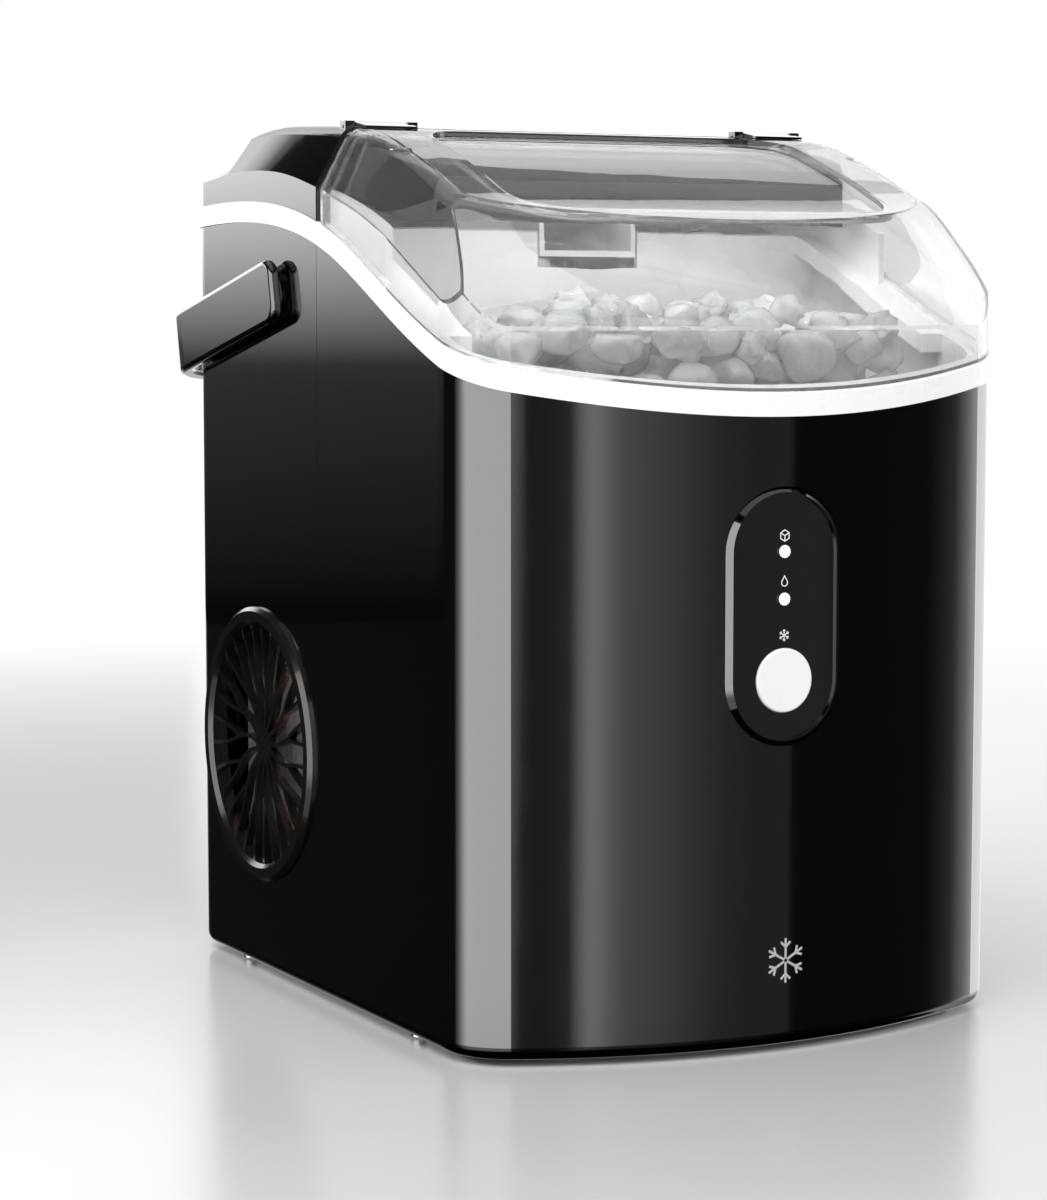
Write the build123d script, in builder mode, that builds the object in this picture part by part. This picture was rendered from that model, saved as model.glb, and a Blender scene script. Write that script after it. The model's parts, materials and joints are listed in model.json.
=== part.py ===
"""Countertop nugget ice maker: shells, clear lid, ice bin, freezing auger and carry handle."""
from math import cos, radians, sin, sqrt
import os
from build123d import *

os.makedirs("parts", exist_ok=True)

# Driving dimensions, mm. Depths are measured backwards from the middle of the front face.
WIDTH = 225.0
BODY_DEPTH = 279.5
BEZEL_PROUD = 0.8
FRONT_Y = -151.0 + BEZEL_PROUD
FRONT_RADIUS = 223.5
FRONT_CORNER = 27.5
REAR_CORNER = 14.0
SEAM_DEPTH = 152.2
SEAM_GAP = 0.3
WALL = 3.0
SKIN = 2.5
LIP_WIDTH = 12.0
BASE_Z = 2.0
BASE_FILLET = 5.0
TALL, LOW = 400.0, -20.0

# Side-view curves as (depth, height).
RIM_LINE = ((-12, 221), (24, 236.6), (60, 249.6), (100, 267.3),
            (140, 284.6), (180, 294.4), (225, 297.8), (292, 295.2))
TOP_LINE = ((-12, 285.5), (27, 296), (61, 304.5), (82, 313), (104, 321),
            (124, 327.5), (153, 332), (190, 334.2), (218, 335), (240, 333.6))
CREASE_LINE = ((-12, 250), (20, 257), (40, 265), (70, 279.5), (101, 294.3),
               (130, 304), (150, 308.7), (181, 315), (216, 317.5), (240, 317))
TOP_TAIL = (292, 308.2)
CREASE_TAIL = (292, 312.4)
SHOULDER_X, SHOULDER_ROUND = 100.4, 8.0
# Front slope of the lid as (radius from the bow centre, height).
BOW_SLOPE = ((223.5, 258), (215.2, 275.6), (203.7, 290), (190.8, 303), (173.5, 313), (150, 322))
TRIM_HEIGHT = 8.0
TRIM_PROUD = 1.0
TRIM_INSET = 6.0

# Carry handle.
PIVOT_DEPTH, PIVOT_Z = 194.0, 268.8
HANDLE_SLOPE = 12.3
HANDLE_HEIGHT = 25.0
ARM_OUTER_X, ARM_INNER_X = 119.0, 114.4
HANDLE_EDGE = 2.0
HANDLE_INNER_REACH = 98.0
STUB_R = 6.0
RUNNING_CLEARANCE = 0.05

# Lid hinge, side vents, control panel.
HINGE_BACK, HINGE_Z = 2.6, 332.0
HINGE_PIN_R, BARREL_R = 0.75, 2.0
HINGE_X, BARREL_LENGTH = 85.0, 21.6
VENT_DEPTH, VENT_Z = 210.7, 92.0
VENT_RING_R, VENT_HOLE_R, VENT_HUB_R = 54.5, 49.0, 7.0
PANEL_Z = 156.0
PANEL_WIDTH, PANEL_HEIGHT, BEZEL_WIDTH = 42.0, 87.0, 2.5
BUTTON_Z, BUTTON_R = 133.4, 11.4
LED_HEIGHTS, LED_R = (179.0, 162.2), 2.25

# Ice bin and freezing column.
LINER_FLOOR, LINER_REAR = 130.0, 149.0
LINER_INSET = 6.2
BASKET_INSET, BASKET_FLOOR, BASKET_TOP, BASKET_REAR = 20.0, 176.0, 213.0, 138.0
SHELF_Z, WELL_INSET = 210.0, 16.4
COLUMN_DEPTH = 205.0
BARREL_BORE, FREEZER_R, FREEZER_Z, FREEZER_HEIGHT = 17.0, 24.0, 160.0, 110.0


def y_at(depth):
    """Row Y of a point this far behind the front face."""
    return FRONT_Y + depth


BOW_Y = y_at(FRONT_RADIUS)
SEAM_Y = y_at(SEAM_DEPTH)
PIVOT_Y = y_at(PIVOT_DEPTH)
HINGE_Y = SEAM_Y + HINGE_BACK
VENT_Y = y_at(VENT_DEPTH)
COLUMN_Y = y_at(COLUMN_DEPTH)
BUSH_R = 8.5
RAIL_INSET_X = WIDTH / 2 - 18.0
TONGUE_INSET, TONGUE_REACH = 1.2, 4.0
RAIL_INSET, RAIL_FRONT, CHEEK_FRONT = 18.0, 57.0, 100.0
DRAIN_X, DRAIN_Z, DRAIN_R = -62.0, 24.0, 9.0
GLAND_X, GLAND_Z, GLAND_R = 72.0, 26.0, 7.5
PUMP_X, PUMP_Y = -40.0, y_at(60)
SENSOR_Y, SENSOR_Z = y_at(110), 246.0
HOOD_Z = 295.0
GEARBOX_TOP = 152.0
COMPRESSOR_X, COMPRESSOR_Y, COMPRESSOR_R = 38.0, y_at(86), 44.0
CONDENSER_X, FAN_X, FAN_SHAFT_R = -92.0, -72.0, 1.5
TUBE_ROWS, TUBE_PITCH = 6, 16.0
DRIER_X, DRIER_Y = -34.0, y_at(140)
SCREW_SPOTS = ((105, y_at(80)), (-105, y_at(80)), (105, y_at(240)),
               (-105, y_at(240)), (60, y_at(272)), (-60, y_at(272)))


def save(piece, name):
    """Label one finished sub-part and write its STEP file."""
    piece.part.label = name
    export_step(piece.part, f"parts/{name}.step")


def outline(inset):
    """Plan of the body, bowed at the front, moved inwards by inset."""
    half = WIDTH / 2 - inset
    bow = FRONT_RADIUS - inset
    corner_y = BOW_Y - sqrt(bow**2 - half**2)
    back_y = y_at(BODY_DEPTH) - inset
    with BuildSketch() as shape:
        with BuildLine():
            Polyline((half, corner_y), (half, back_y), (-half, back_y), (-half, corner_y))
            ThreePointArc((-half, corner_y), (0, BOW_Y - bow), (half, corner_y))
        make_face()
        fillet(shape.vertices().sort_by(Axis.Y)[:2], max(FRONT_CORNER - inset, 2))
        fillet(shape.vertices().group_by(Axis.Y)[-1], max(REAR_CORNER - inset, 2))
    return shape.sketch


def prism(inset, low, high):
    """Solid column on the body's plan."""
    with BuildPart() as column:
        with BuildSketch(Plane.XY.offset(low)):
            add(outline(inset))
        extrude(amount=high - low)
    return column.part


def under_curve(points, tail, drop, plane):
    """Side-view region below a curve that is lowered by drop."""
    with BuildSketch(plane) as region:
        with BuildLine():
            curve = Spline(*[(y_at(depth), height - drop) for depth, height in points])
            last = curve @ 1
            ends = [(last.X, last.Y)]
            if tail:
                ends.append((y_at(tail[0]), tail[1] - drop))
            first = curve @ 0
            Polyline(*ends, (ends[-1][0], LOW), (first.X, LOW), (first.X, first.Y))
        make_face()
    return region.sketch


def under_rim(rise):
    """Everything below the rim line, raised by rise."""
    with BuildPart() as block:
        extrude(under_curve(RIM_LINE, None, -rise, Plane.YZ.offset(-WIDTH)), amount=2 * WIDTH)
    return block.part


def under_top(inset):
    """Everything below the lid and rear-cover surface, moved in by inset."""
    shoulder = SHOULDER_X - 0.6 * inset
    side = WIDTH / 2 - inset
    with BuildPart() as block:
        extrude(under_curve(TOP_LINE, TOP_TAIL, inset, Plane.YZ.offset(-shoulder)), amount=2 * shoulder)
        for hand in (-1, 1):
            with BuildSketch(Plane.YZ.offset(hand * shoulder)):
                add(under_curve(TOP_LINE, TOP_TAIL, inset, Plane.XY))
            with BuildSketch(Plane.YZ.offset(hand * side)):
                add(under_curve(CREASE_LINE, CREASE_TAIL, 0.6 * inset, Plane.XY))
            loft(ruled=True)
        if inset < SHOULDER_ROUND:
            ridges = block.edges().filter_by(GeomType.BSPLINE)
            ridges = ridges.filter_by(lambda edge: abs(abs(edge.center().X) - shoulder) < 0.1)
            fillet(ridges, SHOULDER_ROUND - inset)
    return block.part


def under_slope(inset):
    """Round body that gives the lid its curved front slope."""
    rings = [(radius - inset, height - 0.6 * inset) for radius, height in BOW_SLOPE]
    with BuildPart() as block:
        with BuildSketch(Plane.XZ.offset(-BOW_Y)):
            with BuildLine():
                crown = Spline(*rings)
                first, last = crown @ 0, crown @ 1
                Polyline((last.X, last.Y), (last.X, TALL), (0, TALL), (0, LOW),
                         (first.X, LOW), (first.X, first.Y))
            make_face()
        revolve(axis=Axis((0, BOW_Y, 0), (0, 0, 1)))
    return block.part


def canopy(inset):
    """Outer body of lid and rear cover together."""
    return prism(inset, 200, 345) & under_top(inset) & under_slope(inset)


def keep_front(limit_y):
    """Large box in front of a plane across the body."""
    with BuildPart() as half:
        with Locations((0, limit_y, 0)):
            Box(2 * WIDTH, TALL, 2 * TALL, align=(Align.CENTER, Align.MAX, Align.CENTER))
    return half.part


def pill(width, height):
    """Upright rounded slot with full-radius ends."""
    with BuildSketch() as shape:
        SlotOverall(height, width, rotation=90)
    return shape.sketch


def front_plane(depth, height=0.0):
    """Plane facing the user at this depth, with its own Y pointing up."""
    return Plane(origin=(0, y_at(depth), height), x_dir=(1, 0, 0), z_dir=(0, -1, 0))


def side_plane(x):
    """Plane across the body at this X: its own axes are Y and Z."""
    return Plane.YZ.offset(x)


def hollow_case():
    """Whole outer case with its in-turned lower lip, before it is parted."""
    with BuildPart() as case:
        add(prism(0, BASE_Z, 320))
        fillet(case.edges().group_by(Axis.Z)[0], BASE_FILLET)
        add(prism(WALL, BASE_Z + WALL, TALL), mode=Mode.SUBTRACT)
        add(prism(LIP_WIDTH, 0, TALL), mode=Mode.SUBTRACT)
        add(under_rim(0), mode=Mode.INTERSECT)
        with BuildSketch(Plane.XY):
            with Locations(*SCREW_SPOTS):
                Circle(1.5)
        extrude(amount=10, mode=Mode.SUBTRACT)
    return case.part


def front_shell(case):
    with BuildPart() as shell:
        add(case)
        add(keep_front(SEAM_Y - SEAM_GAP / 2), mode=Mode.INTERSECT)
        with BuildSketch(front_plane(10, PANEL_Z)):
            add(pill(PANEL_WIDTH + 2 * BEZEL_WIDTH, PANEL_HEIGHT + 2 * BEZEL_WIDTH))
        extrude(amount=20, mode=Mode.SUBTRACT)
    save(shell, "front_shell")


def rear_shell(case):
    with BuildPart() as shell:
        add(case)
        add(keep_front(SEAM_Y + SEAM_GAP / 2), mode=Mode.SUBTRACT)
        with BuildSketch(side_plane(-WIDTH)):
            with Locations((VENT_Y, VENT_Z)):
                Circle(VENT_HOLE_R)
            with Locations((PIVOT_Y, PIVOT_Z)):
                Circle(BUSH_R)
        extrude(amount=2 * WIDTH, mode=Mode.SUBTRACT)
        with BuildSketch(front_plane(BODY_DEPTH + 5)):
            with Locations((DRAIN_X, DRAIN_Z)):
                Circle(DRAIN_R)
            with Locations((GLAND_X, GLAND_Z)):
                Circle(GLAND_R)
        extrude(amount=20, mode=Mode.SUBTRACT)
    save(shell, "rear_shell")


def trim_band():
    with BuildPart() as band:
        add(prism(-TRIM_PROUD, 200, 330))
        add(prism(TRIM_INSET, 190, 340), mode=Mode.SUBTRACT)
        add(under_rim(TRIM_HEIGHT), mode=Mode.INTERSECT)
        add(under_rim(0), mode=Mode.SUBTRACT)
    save(band, "trim_band")


def base_pan():
    with BuildPart() as pan:
        add(prism(WALL + 0.2, BASE_Z + WALL, BASE_Z + WALL + 2.5))
        add(prism(LIP_WIDTH + 0.3, BASE_Z + 0.6, BASE_Z + WALL))
        with BuildSketch(Plane.XY):
            with Locations(*SCREW_SPOTS):
                Circle(1.5)
        extrude(amount=12, mode=Mode.SUBTRACT)
    save(pan, "base_pan")


def case_screws():
    with BuildPart() as screws:
        with BuildSketch(Plane.XY.offset(BASE_Z - 1.4)):
            with Locations(*SCREW_SPOTS):
                Circle(3)
        extrude(amount=1.4)
        with BuildSketch(Plane.XY.offset(BASE_Z)):
            with Locations(*SCREW_SPOTS):
                Circle(1.5)
        extrude(amount=5.5)
    save(screws, "case_screws")


def feet():
    with BuildPart() as pads:
        with Locations((82, y_at(62)), (-82, y_at(62)), (82, y_at(250)), (-82, y_at(250))):
            Cylinder(9, BASE_Z + 0.6, align=(Align.CENTER, Align.CENTER, Align.MIN))
        chamfer(pads.edges().group_by(Axis.Z)[0], 0.8)
    save(pads, "feet")


def rear_top_cover():
    with BuildPart() as cover:
        add(canopy(0))
        add(canopy(SKIN), mode=Mode.SUBTRACT)
        add(keep_front(SEAM_Y + SEAM_GAP / 2), mode=Mode.SUBTRACT)
        add(seam_tongue())
        add(under_rim(TRIM_HEIGHT), mode=Mode.SUBTRACT)
        for hand in (-1, 1):
            middle = (hand * HINGE_X, HINGE_Y + 0.4, HINGE_Z - 0.9)
            with Locations(middle):
                Box(30, 4.8, 6.2)
            with Locations(Location((hand * HINGE_X, HINGE_Y, HINGE_Z), (0, 90, 0))):
                Cylinder(BARREL_R + 0.3, BARREL_LENGTH + 0.6, mode=Mode.SUBTRACT)
                Cylinder(HINGE_PIN_R, 60, mode=Mode.SUBTRACT)
            with Locations((hand * HINGE_X, HINGE_Y - 2.2, HINGE_Z + 1)):
                Box(BARREL_LENGTH + 0.6, 4.4, 6, mode=Mode.SUBTRACT)
            with Locations((hand * HINGE_X, HINGE_Y, HINGE_Z)):
                Box(BARREL_LENGTH + 0.6, BARREL_R + 0.4, 6, align=(Align.CENTER, Align.MIN, Align.MIN),
                    mode=Mode.SUBTRACT)
    save(cover, "rear_top_cover")


def seam_tongue():
    """Recessed strip in front of the cover's edge, which the lid closes against."""
    with BuildPart() as tongue:
        add(canopy(TONGUE_INSET) - canopy(TONGUE_INSET + SKIN))
        add(keep_front(SEAM_Y + 2), mode=Mode.INTERSECT)
        add(keep_front(SEAM_Y - TONGUE_REACH), mode=Mode.SUBTRACT)
    return tongue.part


def hinge_pins():
    with BuildPart() as pins:
        with Locations(*[Location((hand * HINGE_X, HINGE_Y, HINGE_Z), (0, 90, 0)) for hand in (-1, 1)]):
            Cylinder(HINGE_PIN_R, 29)
    save(pins, "hinge_pins")


def lid_hinges():
    """Two black straps that clip on the lid and turn on the hinge pins."""
    with BuildPart() as straps:
        for hand in (-1, 1):
            with Locations(Location((hand * HINGE_X, HINGE_Y, HINGE_Z), (0, 90, 0))):
                Cylinder(BARREL_R, BARREL_LENGTH)
            with BuildSketch(side_plane(hand * HINGE_X)):
                with BuildLine():
                    Polyline((HINGE_Y, HINGE_Z + BARREL_R), (HINGE_Y - 11, HINGE_Z + 0.1),
                             (HINGE_Y - 11, HINGE_Z - 0.8), (HINGE_Y, HINGE_Z + 0.4), close=True)
                make_face()
            extrude(amount=BARREL_LENGTH / 2, both=True)
            with Locations(Location((hand * HINGE_X, HINGE_Y, HINGE_Z), (0, 90, 0))):
                Cylinder(HINGE_PIN_R + RUNNING_CLEARANCE, 60, mode=Mode.SUBTRACT)
        add(canopy(0), mode=Mode.SUBTRACT)
    save(straps, "lid_hinges")


def window_plan(grow):
    """Rounded window of the lid, seen from above."""
    with BuildSketch() as shape:
        with Locations((0, y_at(91))):
            RectangleRounded(2 * (78 + grow), 98 + 2 * grow, 22 + grow)
    return shape.sketch


def lid():
    with BuildPart() as window:
        with BuildSketch(Plane.XY.offset(250)):
            add(window_plan(SKIN))
        extrude(amount=120)
        add(under_top(2.2), mode=Mode.INTERSECT)
        add(under_top(2.2 + SKIN), mode=Mode.SUBTRACT)
    with BuildPart() as recess:
        with BuildSketch(Plane.XY.offset(250)):
            add(window_plan(0))
        extrude(amount=120)
        add(under_top(2.2), mode=Mode.SUBTRACT)
    with BuildPart() as cover:
        add(canopy(0))
        add(canopy(SKIN), mode=Mode.SUBTRACT)
        add(window.part)
        add(recess.part, mode=Mode.SUBTRACT)
        add(keep_front(SEAM_Y - TONGUE_REACH - 0.4), mode=Mode.INTERSECT)
        add(under_rim(TRIM_HEIGHT + 0.3), mode=Mode.SUBTRACT)
    save(cover, "lid")


def handle():
    slope = radians(HANDLE_SLOPE)
    half = HANDLE_HEIGHT / 2
    reach = (151 - PIVOT_Y - HANDLE_EDGE - (half - HANDLE_EDGE) * sin(slope)) / cos(slope) + HANDLE_EDGE
    bail = Plane(origin=(0, PIVOT_Y, PIVOT_Z), x_dir=(1, 0, 0), z_dir=(0, sin(slope), cos(slope)))
    with BuildSketch() as gap:
        with Locations((0, -60)):
            Rectangle(2 * ARM_INNER_X, 60 + HANDLE_INNER_REACH, align=(Align.CENTER, Align.MIN))
        fillet(gap.vertices().group_by(Axis.Y)[-1], 20)
    with BuildPart() as grip:
        with BuildSketch(bail) as loop:
            with Locations((0, -13)):
                Rectangle(2 * ARM_OUTER_X, 13 + reach, align=(Align.CENTER, Align.MIN))
            fillet(loop.vertices().sort_by(lambda corner: corner.Y)[-2:], 25)
            add(gap.sketch, mode=Mode.SUBTRACT)
        extrude(amount=half, both=True)
        ends = grip.edges().filter_by(Axis.X).sort_by(lambda edge: edge.center().Y)[:4]
        fillet(ends, 7)
        flats = grip.faces().filter_by(Plane(origin=(0, 0, 0), z_dir=bail.z_dir))
        sides = grip.faces().filter_by(Axis.X)
        rims = [edge for face in flats + sides for edge in face.edges()]
        seams = grip.edges().filter_by(Axis.X).sort_by(lambda edge: edge.center().Y)[:8]
        chosen = ShapeList(edge for edge in rims if edge not in seams)
        fillet(chosen, HANDLE_EDGE)
        with Locations(*[Location((hand * (ARM_INNER_X - 4.1), PIVOT_Y, PIVOT_Z), (0, 90, 0))
                         for hand in (-1, 1)]):
            Cylinder(STUB_R, 8.2)
    save(grip, "handle")


def handle_bushes():
    with BuildPart() as bushes:
        for hand in (-1, 1):
            with Locations(Location((hand * (WIDTH / 2 - 3.5), PIVOT_Y, PIVOT_Z), (0, 90, 0))):
                Cylinder(BUSH_R, 7)
            with Locations(Location((hand * (WIDTH / 2 - WALL - 3), PIVOT_Y, PIVOT_Z), (0, 90, 0))):
                Cylinder(BUSH_R + 3, 2)
            with Locations(Location((hand * WIDTH / 2, PIVOT_Y, PIVOT_Z), (0, 90, 0))):
                Cylinder(STUB_R + RUNNING_CLEARANCE, 30, mode=Mode.SUBTRACT)
    save(bushes, "handle_bushes")


def vent_grille(hand, name):
    """Round side grille: bevelled ring, hub and vanes that fork halfway out."""
    outer_x = hand * WIDTH / 2
    with BuildPart() as grille:
        with BuildSketch(side_plane(outer_x)):
            with Locations((VENT_Y, VENT_Z)):
                Circle(VENT_RING_R)
                Circle(VENT_HOLE_R - 1.5, mode=Mode.SUBTRACT)
        extrude(amount=hand * 2.6)
        chamfer(grille.edges().group_by(Axis.X)[-1 if hand > 0 else 0], 1.6)
        with BuildSketch(side_plane(outer_x)):
            with Locations((VENT_Y, VENT_Z)):
                Circle(VENT_HOLE_R)
                Circle(VENT_HOLE_R - 1.5, mode=Mode.SUBTRACT)
        extrude(amount=-hand * 5)
        with BuildSketch(side_plane(outer_x - hand * 1.2)):
            with Locations((VENT_Y, VENT_Z)):
                Circle(VENT_HUB_R)
                with PolarLocations(0, 15):
                    add(vane())
        extrude(amount=-hand * 3)
    save(grille, name)


def vane():
    """One forked vane lying along its own +X."""
    fork = 25.0
    tip = VENT_HOLE_R - 0.8
    with BuildSketch() as shape:
        with BuildLine():
            stem = ThreePointArc((VENT_HUB_R - 1, 0), (fork / 2 + 3, 1.6), (fork, 0.4))
        trace(line_width=1.7)
        for turn in (-6.0, 6.0):
            end = (tip * cos(radians(turn)), tip * sin(radians(turn)))
            with BuildLine():
                ThreePointArc(stem @ 1, ((fork + tip) / 2, 0.66 * end[1]), end)
            trace(line_width=1.5)
    return shape.sketch


def panel_bezel():
    with BuildPart() as bezel:
        with BuildSketch(front_plane(3.2, PANEL_Z)):
            add(pill(PANEL_WIDTH + 2 * BEZEL_WIDTH, PANEL_HEIGHT + 2 * BEZEL_WIDTH))
        extrude(amount=3.2 + BEZEL_PROUD)
        chamfer(bezel.edges().group_by(Axis.Y)[0], 2.0)
        with BuildSketch(front_plane(3.2, PANEL_Z)):
            add(pill(PANEL_WIDTH, PANEL_HEIGHT))
        extrude(amount=10, mode=Mode.SUBTRACT)
    save(bezel, "panel_bezel")


def panel_window():
    with BuildPart() as plate:
        with BuildSketch(front_plane(2.8, PANEL_Z)):
            add(pill(PANEL_WIDTH, PANEL_HEIGHT))
        extrude(amount=2.6)
        with BuildSketch(front_plane(4)):
            with Locations((0, BUTTON_Z)):
                Circle(BUTTON_R + 0.3)
            with Locations(*[(0, height) for height in LED_HEIGHTS]):
                Circle(LED_R)
        extrude(amount=10, mode=Mode.SUBTRACT)
    save(plate, "panel_window")


def indicator_lenses():
    with BuildPart() as lenses:
        with BuildSketch(front_plane(5.5)):
            with Locations(*[(0, height) for height in LED_HEIGHTS]):
                Circle(LED_R)
        extrude(amount=5.5)
    save(lenses, "indicator_lenses")


def panel_carrier():
    with BuildPart() as carrier:
        with BuildSketch(front_plane(12, PANEL_Z)):
            add(pill(52, 97))
            add(pill(38, 83), mode=Mode.SUBTRACT)
        extrude(amount=7.3)
    save(carrier, "panel_carrier")


def control_board():
    with BuildPart() as board:
        with BuildSketch(front_plane(13.6, PANEL_Z)):
            RectangleRounded(44, 92, 10)
        extrude(amount=1.6)
        with Locations((0, y_at(10.05), BUTTON_Z)):
            Box(6, 3.9, 6)
        with Locations(*[(0, y_at(10.5), height) for height in LED_HEIGHTS]):
            Box(4, 3, 4)
        with Locations((8, y_at(14.6), PANEL_Z), (-8, y_at(14.6), PANEL_Z + 20)):
            Box(10, 2, 10)
    save(board, "control_board")


def button():
    with BuildPart() as key:
        with BuildSketch(front_plane(3.1, BUTTON_Z)):
            Circle(BUTTON_R)
        extrude(amount=3.7)
        fillet(key.edges().group_by(Axis.Y)[0], 0.8)
        with BuildSketch(front_plane(4.3, BUTTON_Z)):
            Circle(BUTTON_R + 1.4)
        extrude(amount=1.2)
        with BuildSketch(front_plane(6.9, BUTTON_Z)):
            Circle(3)
        extrude(amount=2.6)
    save(key, "button")


def bin_liner():
    """White tub: ice bin above, water reservoir in its bottom."""
    rear_y = y_at(LINER_REAR)
    rails = side_rails()
    seats = sensor_seats()
    with BuildPart() as tub:
        add(prism(LINER_INSET, SHELF_Z - SKIN, 330))
        add(prism(WELL_INSET, LINER_FLOOR, SHELF_Z))
        add(prism(LINER_INSET + SKIN, SHELF_Z, 340) & keep_front(rear_y - SKIN), mode=Mode.SUBTRACT)
        add(prism(WELL_INSET + SKIN, LINER_FLOOR + SKIN, 340) & keep_front(rear_y - SKIN), mode=Mode.SUBTRACT)
        add(under_rim(TRIM_HEIGHT - 2), mode=Mode.INTERSECT)
        add(keep_front(rear_y), mode=Mode.INTERSECT)
        add(rails)
        with Locations((0, rear_y, 287)):
            Box(44, 20, 14, mode=Mode.SUBTRACT)
        with Locations((PUMP_X, PUMP_Y, LINER_FLOOR)):
            Cylinder(4, 20, mode=Mode.SUBTRACT)
        with Locations(*[(x, y_at(130), LINER_FLOOR) for x in (60, 72)]):
            Cylinder(1.5, 20, mode=Mode.SUBTRACT)
        add(seats, mode=Mode.SUBTRACT)
    save(tub, "bin_liner")


def side_rails():
    """Raised rail along each side of the bin, with a cheek that rises beside the hood."""
    bay = keep_front(y_at(LINER_REAR)) - keep_front(y_at(RAIL_FRONT))
    rail = prism(LINER_INSET, 200, 330) - prism(RAIL_INSET, 200, 330)
    rail = (rail & bay & under_rim(TRIM_HEIGHT - 2)) - under_rim(-1)
    with BuildPart() as below_crease:
        extrude(under_curve(CREASE_LINE, CREASE_TAIL, 1.5, Plane.YZ.offset(-WIDTH)), amount=2 * WIDTH)
    cheek = prism(LINER_INSET, 200, 330) - prism(LINER_INSET + SKIN, 200, 330)
    cheek = cheek & below_crease.part & bay
    cheek = cheek - keep_front(y_at(CHEEK_FRONT)) - under_rim(0)
    across = Box(2 * RAIL_INSET_X, TALL, 2 * TALL)
    return (rail + cheek) - across


def sensor_seats():
    with BuildPart() as seats:
        with Locations(*[Location((hand * (WIDTH / 2 - LINER_INSET - 1), SENSOR_Y, SENSOR_Z), (0, 90, 0))
                         for hand in (-1, 1)]):
            Cylinder(3.5, 8)
    return seats.part


def ice_full_sensors():
    """Light emitter and receiver that look across the bin."""
    with BuildPart() as eyes:
        for hand in (-1, 1):
            face = WIDTH / 2 - LINER_INSET - SKIN
            with Locations(Location((hand * (face + 0.9), SENSOR_Y, SENSOR_Z), (0, 90, 0))):
                Cylinder(3.5, 3.2)
            with Locations(Location((hand * (face - 1.2), SENSOR_Y, SENSOR_Z), (0, 90, 0))):
                Cylinder(4.6, 1.0)
    save(eyes, "ice_full_sensors")


def ice_basket():
    """Lift-out basket with a flanged rim, slotted floor and slotted sides."""
    rear_y = y_at(BASKET_REAR)
    with BuildPart() as rim:
        add(prism(LINER_INSET + SKIN + 1.5, SHELF_Z + 0.3, SHELF_Z + SKIN))
        add(keep_front(rear_y + 3), mode=Mode.INTERSECT)
    with BuildPart() as basket:
        add(prism(BASKET_INSET, BASKET_FLOOR, BASKET_TOP))
        add(keep_front(rear_y), mode=Mode.INTERSECT)
        add(rim.part)
        inner = prism(BASKET_INSET + 2.2, BASKET_FLOOR + 2.2, TALL) & keep_front(rear_y - 2.2)
        add(inner, mode=Mode.SUBTRACT)
        with BuildSketch(Plane.XY.offset(BASKET_FLOOR - 5)):
            with Locations((0, y_at(82))):
                with GridLocations(14, 24, 11, 4):
                    SlotOverall(18, 3.2, rotation=90)
        extrude(amount=12, mode=Mode.SUBTRACT)
        with BuildSketch(Plane.YZ.offset(-WIDTH / 2)):
            with Locations((y_at(88), BASKET_FLOOR + 22)):
                with GridLocations(10, 1, 8, 1):
                    SlotOverall(24, 3.2, rotation=90)
        extrude(amount=WIDTH, mode=Mode.SUBTRACT)
    save(basket, "ice_basket")


def hood_plan(inset):
    """Plan of the hood: faceted sides that spread towards the seam."""
    back_y = y_at(SEAM_DEPTH - TONGUE_REACH - 0.8)
    right = [(104 - inset, back_y), (102 - inset, y_at(128)), (90 - inset, y_at(105) + inset)]
    left = [(-x, y) for x, y in reversed(right)]
    with BuildSketch() as shape:
        with BuildLine():
            Polyline(*right, *left, close=True)
        make_face()
    return shape.sketch


def chute_cover():
    """Black faceted hood over the ice chute, seen through the lid."""
    with BuildPart() as space:
        with BuildSketch(Plane.XY.offset(HOOD_Z - 5)):
            add(hood_plan(2))
        extrude(amount=80)
        with Locations((0, y_at(SEAM_DEPTH), HOOD_Z + 20)):
            Box(190, 14, 80)
        add(under_top(9.0), mode=Mode.INTERSECT)
    with BuildPart() as skirt_gap:
        extrude(under_curve(CREASE_LINE, CREASE_TAIL, 3, Plane.YZ.offset(-WIDTH)), amount=2 * WIDTH)
        Box(190, TALL, 2 * TALL, mode=Mode.SUBTRACT)
    with BuildPart() as hood:
        with BuildSketch(Plane.XY.offset(HOOD_Z)):
            add(hood_plan(0))
        extrude(amount=60)
        add(under_top(6.6), mode=Mode.INTERSECT)
        add(space.part, mode=Mode.SUBTRACT)
        add(skirt_gap.part, mode=Mode.SUBTRACT)
    save(hood, "ice_chute_cover")


def ice_chute():
    """Duct that carries the ice from the extruder head forward into the bin."""
    mouth_y = y_at(LINER_REAR - SKIN)
    with BuildPart() as duct:
        with BuildSketch(side_plane(-21)):
            with BuildLine():
                Polyline((y_at(231), 284), (y_at(231), 308), (mouth_y, 304.5), (mouth_y, 284),
                         (y_at(181), 284), close=True)
            make_face()
        extrude(amount=42)
        with BuildSketch(side_plane(-19)):
            with BuildLine():
                Polyline((y_at(229), 280), (y_at(229), 306), (mouth_y - 5, 302.5), (mouth_y - 5, 286),
                         (y_at(183), 286), (y_at(183), 280), close=True)
            make_face()
        extrude(amount=38, mode=Mode.SUBTRACT)
    save(duct, "ice_chute")


def extruder_head():
    with BuildPart() as head:
        with BuildSketch(Plane.XY.offset(FREEZER_Z + FREEZER_HEIGHT)):
            with Locations((0, COLUMN_Y)):
                Circle(FREEZER_R)
                Circle(4 + RUNNING_CLEARANCE, mode=Mode.SUBTRACT)
                with PolarLocations(11, 8):
                    Circle(3.4, mode=Mode.SUBTRACT)
        extrude(amount=14)
    save(head, "extruder_head")


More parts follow.
